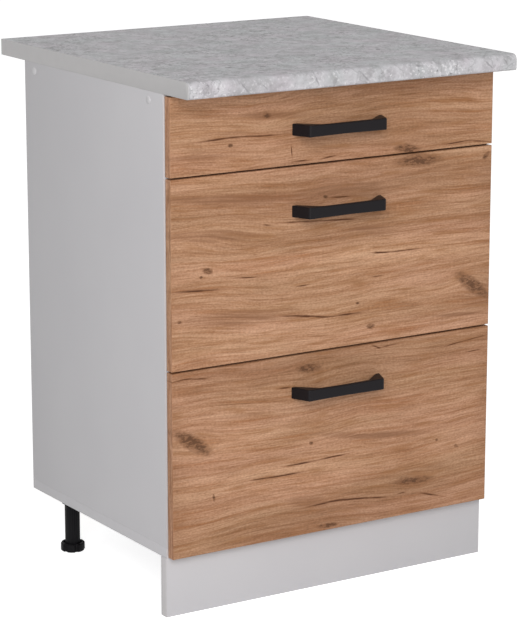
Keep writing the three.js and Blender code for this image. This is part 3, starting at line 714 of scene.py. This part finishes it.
def oak_laminate(name, cracks, knots, smears, tone_and_painted_light, bends):
    """Rustic oak melamine, grain along x. Marks run from x, z to x, z with a half width, and a
    shade also has a strength: shades are broad zones, most of them the decor's tone, some of them
    painted shade and painted light. A bend is x, z, half length, half height, push and slope."""
    material, tree, place = start_material(name)
    # On a front's upright ends the grain of the edging runs up the edge.
    facing = add_node(tree, "NewGeometry").outputs["True Normal"]
    facing = add_node(tree, "SeparateXYZ", {0: facing}).outputs["X"]
    facing = add_node(tree, "Math", {0: facing}, operation="ABSOLUTE")
    facing = add_node(tree, "Math", {0: facing, 1: 0.7}, operation="GREATER_THAN")
    axes = add_node(tree, "SeparateXYZ", {0: place}).outputs
    turned = add_node(tree, "CombineXYZ", {"X": axes["Z"], "Y": axes["X"], "Z": axes["Y"]})
    lengthwise = add_node(
        tree, "Mix", {"Factor": facing, "A": place, "B": turned}, data_type="VECTOR"
    )
    # A slow wander of the grain, a ripple, and the swirl of the grain round knots.
    slow = add_node(tree, "Mapping", {"Vector": lengthwise, "Scale": (1 / 420, 1 / 160, 1 / 140)})
    slow = add_node(tree, "TexNoise", {"Vector": slow, "Scale": 1.0, "Detail": 2.0})
    wander = add_node(tree, "MapRange", {"Value": slow, "To Min": -24.0, "To Max": 24.0})
    fine = add_node(tree, "Mapping", {"Vector": place, "Scale": (1 / 55, 1 / 16, 1 / 16)})
    fine = add_node(tree, "TexNoise", {"Vector": fine, "Scale": 1.0, "Detail": 3.0})
    ripple = add_node(tree, "MapRange", {"Value": fine, "To Min": -1.1, "To Max": 1.1})
    shift = add_node(tree, "Math", {0: wander, 1: ripple}, operation="ADD")
    # Marks and bends go right through the board.
    through = 2000
    for x, z, half_length, half_height, push, slope in bends:
        knot_line = (x - half_length, z, x + half_length, z, half_height)
        near = marks_on(tree, place, [knot_line], 0, through)
        for axis, centre, amount in (("X", x, slope), ("Z", z, -push)):
            off = add_node(tree, "Math", {0: axes[axis], 1: centre}, operation="SUBTRACT")
            off = add_node(tree, "Math", {0: off, 1: near}, operation="MULTIPLY")
            shift = add_node(tree, "Math", {0: off, 1: amount, 2: shift}, operation="MULTIPLY_ADD")
    lift = add_node(tree, "CombineXYZ", {"Z": shift})
    grain = add_node(tree, "VectorMath", {0: lengthwise, 1: lift}, operation="ADD")
    # Lengths in mm along, through and across the grain. Growth rings sawn lengthwise give bands 2
    # to 9 mm high, and zones of other hues 30 to 60 mm high. Fibre bundles are 120 mm long, single
    # fibres 0.5 mm wide (drawn 2 mm), with short specks between them, and the saw left a faint
    # upright figure.
    patterns = {}
    for pattern, base, lengths, detail, roughness in (
        ("bands", grain, (190, 30, 9), 6.0, 0.72),
        ("zones", grain, (300, 80, 40), 3.0, 0.5),
        ("bundles", grain, (120, 8, 3.2), 3.0, 0.5),
        ("fibres", grain, (55, 3, 2), 2.0, 0.6),
        ("specks", grain, (4.5, 3, 2.2), 1.0, 0.5),
        ("figure", lengthwise, (4, 9, 20), 2.0, 0.5),
    ):
        sockets = {"Vector": base, "Scale": [1 / length for length in lengths]}
        drawn = add_node(tree, "Mapping", sockets)
        sockets = {"Vector": drawn, "Scale": 1.0, "Detail": detail, "Roughness": roughness}
        patterns[pattern] = add_node(tree, "TexNoise", sockets)
    wood = add_node(tree, "ValToRGB", {"Fac": patterns["bands"]})
    ramp = wood.color_ramp
    ramp.elements[0].position = 0.3
    ramp.elements[0].color = linear("#966B4F")
    ramp.elements[1].position = 0.7
    ramp.elements[1].color = linear("#BD977B")
    for position, colour in ((0.43, "#A47E64"), (0.55, "#B68F74")):
        ramp.elements.new(position).color = linear(colour)
    hue = patterns["zones"].outputs["Color"]
    hue = add_node(tree, "MapRange", {"Value": hue, "From Min": 0.38, "From Max": 0.62})
    sockets = {"Factor": hue, "A": linear("#FFFAEF"), "B": linear("#FFF5EF")}
    hue = add_node(tree, "Mix", sockets, data_type="RGBA")
    wood = add_node(
        tree, "Mix", {"Factor": 1.0, "A": wood, "B": hue}, data_type="RGBA", blend_type="MULTIPLY"
    )
    # Each pattern shades the wood from low to high as its noise goes from start to end.
    light = None
    for pattern, start, end, low, high in (
        ("zones", 0.35, 0.65, 0.91, 1.08),
        ("bundles", 0.3, 0.6, 0.91, 1.05),
        ("fibres", 0.3, 0.55, 0.74, 1.06),
        ("specks", 0.3, 0.7, 0.84, 1.13),
        ("figure", 0.3, 0.7, 0.96, 1.03),
    ):
        sockets = {"From Min": start, "From Max": end, "To Min": low, "To Max": high}
        shade = add_node(tree, "MapRange", {"Value": patterns[pattern], **sockets})
        if light:
            shade = add_node(tree, "Math", {0: light, 1: shade}, operation="MULTIPLY")
        light = shade
    # Broad darker and lighter zones: most are the decor's tone, some are painted shade along the
    #     fronts' ends and round the top handle, and one is a painted light band that offsets the
    #     worktop's shadow on the top front.
    for x1, z1, x2, z2, half_height, strength in tone_and_painted_light:
        shade = marks_on(tree, place, [(x1, z1, x2, z2, half_height)], 0, through, 1.3)
        shade = add_node(tree, "Math", {0: shade, 1: strength, 2: 1.0}, operation="MULTIPLY_ADD")
        light = add_node(tree, "Math", {0: light, 1: shade}, operation="MULTIPLY")
    wood = add_node(tree, "VectorMath", {0: wood, "Scale": light}, operation="SCALE")
    # Brown heartwood patches 15 to 60 mm long, and open pores as short dashes.
    for lengths, start, strength, brown in (
        ((70, 20, 9), 0.56, 0.5, "#8A6142"),
        ((13, 3, 1.7), 0.62, 0.75, "#74503A"),
    ):
        sockets = {"Vector": grain, "Scale": [1 / length for length in lengths]}
        patch = add_node(tree, "Mapping", sockets)
        patch = add_node(tree, "TexNoise", {"Vector": patch, "Scale": 1.0, "Detail": 2.0})
        sockets = {"Value": patch, "From Min": start, "From Max": start + 0.14, "To Max": strength}
        patch = add_node(tree, "MapRange", sockets)
        sockets = {"Factor": patch, "A": wood, "B": linear(brown)}
        wood = add_node(tree, "Mix", sockets, data_type="RGBA")
    # Dark oak is redder and pale oak less yellow: red varies less than green, blue more.
    parts = add_node(tree, "SeparateXYZ", {0: wood}).outputs
    red = add_node(tree, "Math", {0: parts["X"], 1: 0.87}, operation="POWER")
    red = add_node(tree, "Math", {0: red, 1: 0.899}, operation="MULTIPLY")
    blue = add_node(tree, "Math", {0: parts["Z"], 1: 1.175}, operation="POWER")
    blue = add_node(tree, "Math", {0: blue, 1: 1.409}, operation="MULTIPLY")
    wood = add_node(tree, "CombineXYZ", {"X": red, "Y": parts["Y"], "Z": blue})
    # Smears of grey-brown heartwood, streaked by the fibre bundles.
    torn = add_node(tree, "CombineXYZ", {"Z": ripple})
    torn = add_node(tree, "VectorMath", {0: place, 1: torn}, operation="ADD")
    sockets = {"Value": patterns["bundles"], "From Min": 0.6, "From Max": 0.35}
    streaks = add_node(tree, "MapRange", sockets)
    streaks = add_node(tree, "MapRange", {"Value": streaks, "To Min": 0.3, "To Max": 0.85})
    smeared = marks_on(tree, torn, smears, 0, through, 1.3)
    smeared = add_node(tree, "MapRange", {"Value": smeared, "From Max": 0.5})
    smeared = add_node(tree, "Math", {0: smeared, 1: streaks}, operation="MULTIPLY")
    # Cracks: a brown halo round a dark split that frays and fades along its length.
    cracked = marks_on(tree, torn, cracks, 0, through, 1.5)
    sockets = {"From Min": 0.3, "From Max": 0.7, "To Min": 1.15, "To Max": 0.85}
    frayed = add_node(tree, "MapRange", {"Value": patterns["fibres"], **sockets})
    faded = add_node(tree, "Mapping", {"Vector": place, "Scale": (1 / 26, 1 / 26, 1 / 40)})
    faded = add_node(tree, "TexNoise", {"Vector": faded, "Scale": 1.0, "Detail": 1.0})
    faded = add_node(
        tree, "MapRange", {"Value": faded, "From Min": 0.35, "From Max": 0.55, "To Min": 0.75}
    )
    cracked = add_node(tree, "Math", {0: cracked, 1: frayed}, operation="MULTIPLY")
    cracked = add_node(tree, "Math", {0: cracked, 1: faded}, operation="MULTIPLY")
    halo = add_node(tree, "MapRange", {"Value": cracked, "From Max": 0.6, "To Max": 0.6})
    split = add_node(
        tree, "MapRange", {"Value": cracked, "From Min": 0.38, "From Max": 0.74, "To Max": 0.95}
    )
    # Knots: a brown rim round a burled dark core.
    knotted = marks_on(tree, torn, knots, 0, through, 1.25)
    rim = add_node(tree, "MapRange", {"Value": knotted, "From Max": 0.4, "To Max": 0.65})
    burl = add_node(tree, "Mapping", {"Vector": torn, "Scale": (1 / 7, 1 / 6, 1 / 2.8)})
    sockets = {"Vector": burl, "Scale": 1.0, "Detail": 3.0, "Roughness": 0.6}
    burl = add_node(tree, "TexNoise", sockets)
    sockets = {"Value": burl, "From Min": 0.6, "From Max": 0.36, "To Min": 0.3, "To Max": 1.6}
    burl = add_node(tree, "MapRange", sockets)
    core = add_node(tree, "Math", {0: knotted, 1: burl}, operation="MULTIPLY")
    core = add_node(
        tree, "MapRange", {"Value": core, "From Min": 0.05, "From Max": 0.7, "To Max": 0.8}
    )
    for strength, brown in (
        (smeared, "#835B41"),
        (halo, "#85593B"),
        (split, "#4A2712"),
        (rim, "#8A6043"),
        (core, "#4E3220"),
    ):
        sockets = {"Factor": strength, "A": wood, "B": linear(brown)}
        wood = add_node(tree, "Mix", sockets, data_type="RGBA")
    sheen = add_node(tree, "MapRange", {"Value": patterns["bands"], "To Min": 0.66, "To Max": 0.5})
    depth = add_node(tree, "Math", {0: patterns["fibres"], 1: split}, operation="SUBTRACT")
    relief = add_node(tree, "Bump", {"Height": depth, "Strength": 0.35, "Distance": 0.00015})
    sockets = {"Base Color": wood, "Roughness": sheen, "Normal": relief, "Specular IOR Level": 0.2}
    end_material(tree, add_node(tree, "BsdfPrincipled", sockets))
    return material


# Where each front's marks lie on it, in millimetres.
oak = {
    "top": oak_laminate(
        "rustic_oak_melamine_top",
        cracks=[
            (-272, 742, -175, 744.5, 2.6),
            (-185, 744.5, -88, 740, 2.6),
            (-86, 698, -50, 696.5, 2.2),
            (-32, 697, 2, 700.5, 2.2),
            (200, 698.5, 256, 701, 2.4),
            (250, 701, 300, 694, 2.4),
            (-85, 724, -83, 703, 1.8),
        ],
        knots=[(-137, 774, -121, 771, 6), (-198, 732.5, -189, 731.5, 3.4), (108, 701, 156, 696, 9)],
        smears=[(-170, 775, -60, 768, 8), (-298, 720, -180, 716, 6)],
        # The first shade darkens round the handle, partly the decor's tone and partly painted
        # shade; the second is a painted light band that offsets the worktop's shadow along the top
        # edge.
        tone_and_painted_light=[(-160, 745, 280, 735, 70, -0.22), (-310, 808, 310, 808, 18, 0.16)],
        bends=[
            (-130, 772, 45, 22, 0.8, 0.0),
            (132, 700, 60, 26, 0.7, 0.0),
            (-200, 750, 160, 80, 0.0, 0.08),
        ],
    ),
    "middle": oak_laminate(
        "rustic_oak_melamine_middle",
        cracks=[
            (-18, 635.5, 36, 632.5, 2.4),
            (-112, 605.5, -21, 600, 2.6),
            (-30, 600, 50, 595.5, 2.4),
            (62, 539.5, 96, 537, 2.2),
            (90, 537, 165, 535.5, 2.2),
            (-304, 519, -203, 513, 3.0),
            (-198, 528.5, -140, 525, 2.0),
            (62, 500.5, 92, 500.5, 1.8),
            (-76, 501.5, -50, 502, 1.8),
            (-112, 459.5, -50, 452, 3.2),
            (-64, 453, -8, 445.5, 3.4),
            (-16, 446, 66, 445, 3.0),
            (-137, 606, -120, 603, 2.0),
        ],
        knots=[
            (108, 680, 196, 676, 12),
            (280, 668, 293, 679, 5),
            (-26, 638, -16, 636, 3),
            (-244, 548, -226, 542, 6),
            (-249, 536, -243, 536, 2.6),
            (232, 486, 298, 441, 14),
            (58, 421, 73, 420, 6),
            (36, 462, 44, 461, 2.6),
            (-288, 473, -281, 471, 3),
        ],
        smears=[
            (-310, 660, -70, 640, 9),
            (-60, 646, 110, 640, 14),
            (20, 584, 104, 571, 9),
            (-280, 470, -80, 460, 14),
            (190, 421, 280, 417, 4),
            (-310, 606, -150, 590, 12),
        ],
        tone_and_painted_light=[
            (-300, 685, -90, 685, 30, 0.24),
            (-310, 640, 310, 636, 60, -0.24),
            (-310, 575, 310, 572, 30, -0.22),
            (40, 680, 260, 680, 44, -0.24),
            (-310, 545, 0, 540, 30, 0.28),
            (-60, 535, 300, 533, 30, 0.22),
            (-310, 422, 100, 415, 40, 0.2),
            (270, 490, 310, 420, 60, -0.26),
            # Painted shade along the right end.
            (306, 690, 306, 560, 60, -0.3),
        ],
        bends=[
            (-202, 589, 120, 40, 0.6, 0.06),
            (265, 463, 60, 34, 0.7, 0.1),
            (150, 678, 70, 22, 0.6, 0.0),
            (-235, 545, 30, 18, 0.8, 0.0),
            (-180, 640, 200, 90, 0.0, 0.1),
            (-140, 460, 220, 90, 0.0, 0.12),
        ],
    ),
    "bottom": oak_laminate(
        "rustic_oak_melamine_bottom",
        cracks=[
            (-304, 379, -266, 381.5, 2.4),
            (-276, 381.5, -232, 377, 2.4),
            (66, 390.5, 84, 383, 2.2),
            (78, 383.5, 126, 386.5, 2.4),
            (202, 367.5, 244, 372, 2.2),
            (236, 371.5, 300, 377, 2.2),
            (250, 353, 290, 355, 1.8),
            (-110, 343.5, -81, 342, 2.2),
            (-96, 216, -54, 216, 2.8),
            (-64, 216, 36, 218.5, 2.6),
            (-168, 203.5, -106, 202, 2.6),
            (-116, 202, -56, 201.5, 2.6),
            (-72, 141.5, 6, 144, 3.0),
            (-4, 144, 52, 140, 3.0),
            (44, 140.5, 110, 133, 2.8),
            (120, 135.5, 140, 135.5, 1.8),
            (160, 131.5, 217, 115, 2.6),
        ],
        knots=[
            (-73, 371, -28, 366, 9),
            (-296, 301, -230, 258, 14),
            (-50, 247, -42, 245, 3.4),
            (195, 214, 201, 214, 3),
            (233, 199, 241, 197, 3.6),
            (-226, 192, -224, 180, 3),
            (114, 156, 190, 151, 8),
            (-34, 105.5, 6, 105.5, 5),
        ],
        smears=[
            (-30, 258, 60, 242, 7),
            (40, 243, 170, 232, 7),
            (-90, 158, -20, 148, 11),
            (-210, 312, -140, 308, 4),
        ],
        tone_and_painted_light=[
            (-310, 390, 320, 370, 90, -0.32),
            (-240, 270, -100, 265, 36, 0.16),
            (-300, 218, 200, 205, 45, 0.16),
            (20, 158, 320, 150, 40, -0.24),
            (-320, 118, 320, 112, 60, -0.32),
            # The last two are painted shade along both ends.
            (-305, 330, -305, 110, 40, -0.2),
            (305, 390, 305, 110, 40, -0.2),
        ],
        bends=[
            (-262, 280, 60, 34, 0.7, 0.1),
            (150, 154, 60, 20, 0.7, 0.0),
            (-50, 369, 50, 22, 0.6, 0.0),
            (-200, 340, 200, 80, 0.0, 0.08),
            (60, 130, 260, 60, 0.0, 0.06),
            (200, 260, 220, 70, 0.0, 0.05),
        ],
    ),
}

edge_band, rounding = 1.0, 0.9
for drawer in seats:
    front, body = f"drawer_{drawer}_front", f"drawer_{drawer}"
    low, high = box_of(front)
    # The board is the front without its edging.
    left, right = low.x + edge_band, high.x - edge_band
    bottom, top = low.z + edge_band, high.z - edge_band
    panel = bmesh.new()
    add_board(panel, (left, low.y, bottom), (right, high.y, top), 0.12, 1)
    piece = make_piece(f"{front}_board", panel, oak[drawer], body)
    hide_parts(front)
    # The edging's section, as depth from the face and distance out from the board.
    section, steps = [(0.0, 0.0)], 4
    for step in range(steps + 1):
        angle = math.radians(90 - 90 * step / steps)
        out = edge_band - rounding + rounding * math.cos(angle)
        section.append((rounding * (1 - math.sin(angle)), out))
    depth = high.y - low.y
    section += [(depth - y, out) for y, out in reversed(section)]
    band = bmesh.new()
    loops = []
    for x, z, across, up in (
        (left, bottom, -1, -1),
        (right, bottom, 1, -1),
        (right, top, 1, 1),
        (left, top, -1, 1),
    ):
        spots = [(x + across * out, low.y + y, z + up * out) for y, out in section]
        loops.append([band.verts.new(spot) for spot in spots])
    for i in range(4):
        near, far = loops[i], loops[(i + 1) % 4]
        for j in range(len(section)):
            k = (j + 1) % len(section)
            band.faces.new((near[j], near[k], far[k], far[j]))
    piece = make_piece(f"{front}_edging", band, oak[drawer], body)
    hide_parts(front)

# ---------------------------------------------------------------------------
# Door buffers: clear silicone domes stuck to the back of each front where it
# meets the cabinet's sides.
# ---------------------------------------------------------------------------

# Silicone rubber: clear, slightly milky, dull.
silicone = clouded_finish(
    "clear_silicone",
    tones=("#E4E6E6", "#F2F3F2"),
    clouds=(3, 2.0),
    sheen=(0.25, 0.4),
    shader={"IOR": 1.41, "Transmission Weight": 0.6},
)

dome = [(4, 0), (4, 0.5), (3.6, 0.95), (2.4, 1.25), (0.8, 1.35)]
buffer_line, above_bottom, below_top = 291, 22, 16
for drawer in seats:
    low, high = box_of(f"drawer_{drawer}_front")
    buffers = bmesh.new()
    for x in (-buffer_line, buffer_line):
        for z in (low.z + above_bottom, high.z - below_top):
            add_turned(buffers, (x, high.y, z), (0, 1, 0), dome, 24)
    make_piece(f"drawer_{drawer}_buffers", buffers, silicone, f"drawer_{drawer}")

# ---------------------------------------------------------------------------
# Handles: one-piece bow handles of die-cast zinc with a black powder coat,
# each held by two screws from behind.
# ---------------------------------------------------------------------------

# Black powder coat: matt, with a fine leathery grain of 0.5 mm that is drawn
# 1 mm wide.
powder_coat = clouded_finish(
    "black_powder_coat",
    tones=("#151215", "#191618"),
    clouds=(30, 1.0),
    sheen=(0.34, 0.5),
    shader={"IOR": 1.5, "Specular IOR Level": 0.13},
    grain=(1, 2.0, 0.2, 0.1),
)

# The top handle's screws go through the inner front too, so their heads sit deeper.
front_back, screw_reach = -227, 79.25
handle_screws = {
    "top": (747, inner_front_back),
    "middle": (620.5, front_back),
    "bottom": (333, front_back),
}
dress([f"drawer_{drawer}_handle" for drawer in seats], powder_coat)
for drawer, (z, y) in handle_screws.items():
    screws = bmesh.new()
    for x in (-screw_reach, screw_reach):
        add_turned(screws, (x, y, z), (0, 1, 0), pan_head, 32)
    make_piece(f"drawer_{drawer}_handle_screws", screws, zinc, f"drawer_{drawer}")

# ---------------------------------------------------------------------------
# Studio: a pale floor, white surroundings, one broad soft lamp beside the
# camera, and the camera at the photograph's angle.
# ---------------------------------------------------------------------------

floor_radius = 9
ring = [(math.cos(math.radians(a)), math.sin(math.radians(a))) for a in range(0, 360, 5)]
ring = [(floor_radius * x, floor_radius * y, 0.0) for x, y in ring]
floor_mesh = bpy.data.meshes.new("studio_floor")
floor_mesh.from_pydata(ring, [], [list(range(len(ring)))])
floor = bpy.data.objects.new("studio_floor", floor_mesh)
bpy.context.scene.collection.objects.link(floor)


def shows_background(tree):
    """1 for the rays that show the background: from the camera, in a gloss or through glass."""
    path = add_node(tree, "LightPath").outputs
    rays = {0: path["Is Camera Ray"], 1: path["Is Glossy Ray"]}
    either = add_node(tree, "Math", rays, operation="MAXIMUM")
    rays = {0: either, 1: path["Is Transmission Ray"]}
    return add_node(tree, "Math", rays, operation="MAXIMUM")


# Matt white paper: it takes the cabinet's shadow, and otherwise shows as white.
paper, tree, place = start_material("matt_white_paper")
glow = add_node(tree, "Math", {0: shows_background(tree), 1: 0.75}, operation="MULTIPLY")
tooth = add_node(tree, "TexNoise", {"Vector": place, "Scale": 1 / 200, "Detail": 2.0})
sockets = {"Factor": tooth, "A": linear("#E4E4E4"), "B": linear("#E8E8E8")}
colour = add_node(tree, "Mix", sockets, data_type="RGBA")
sockets = {
    "Base Color": colour,
    "Roughness": 0.9,
    "Specular IOR Level": 0.0,
    "Emission Color": linear("#FFFFFF"),
    "Emission Strength": glow,
}
end_material(tree, add_node(tree, "BsdfPrincipled", sockets))
floor_mesh.materials.append(paper)

# The surroundings light the cabinet at 0.37 and show as white.
world = bpy.data.worlds.new("studio_surroundings")
world.use_nodes = True
bpy.context.scene.world = world
tree = world.node_tree
tree.nodes.clear()
sockets = {"Value": shows_background(tree), "To Min": 0.37, "To Max": 1.0}
strength = add_node(tree, "MapRange", sockets)
white = add_node(tree, "Background", {"Color": linear("#FFFFFF"), "Strength": strength})
add_node(tree, "OutputWorld", {"Surface": white})

lamp_data = bpy.data.lights.new("soft_lamp", "AREA")
lamp_data.shape = "SQUARE"
lamp_data.size = 4.8
lamp_data.energy = 480
lamp = bpy.data.objects.new("soft_lamp", lamp_data)
bpy.context.scene.collection.objects.link(lamp)
cabinet_middle, lamp_distance = Vector((0, 0, 0.42)), 8
towards_lamp = Vector((-0.26, -0.45, 0.21)).normalized()
lamp.location = cabinet_middle + towards_lamp * lamp_distance
lamp.rotation_euler = towards_lamp.to_track_quat("Z", "Y").to_euler()

# The camera was fitted to the photograph's edges.
camera_data = bpy.data.cameras.new("camera")
camera_data.lens = 147.41
camera_data.sensor_width = 36
camera_data.clip_end = 60
camera = bpy.data.objects.new("camera", camera_data)
bpy.context.scene.collection.objects.link(camera)
camera.location = (-2.2301, -3.5488, 1.3849)
yaw, pitch = math.radians(32.268), math.radians(13.348)
level = math.cos(pitch)
ahead = Vector((math.sin(yaw) * level, math.cos(yaw) * level, -math.sin(pitch)))
camera.rotation_euler = ahead.to_track_quat("-Z", "Y").to_euler()
bpy.context.scene.camera = camera
bpy.context.scene.view_settings.view_transform = "Standard"
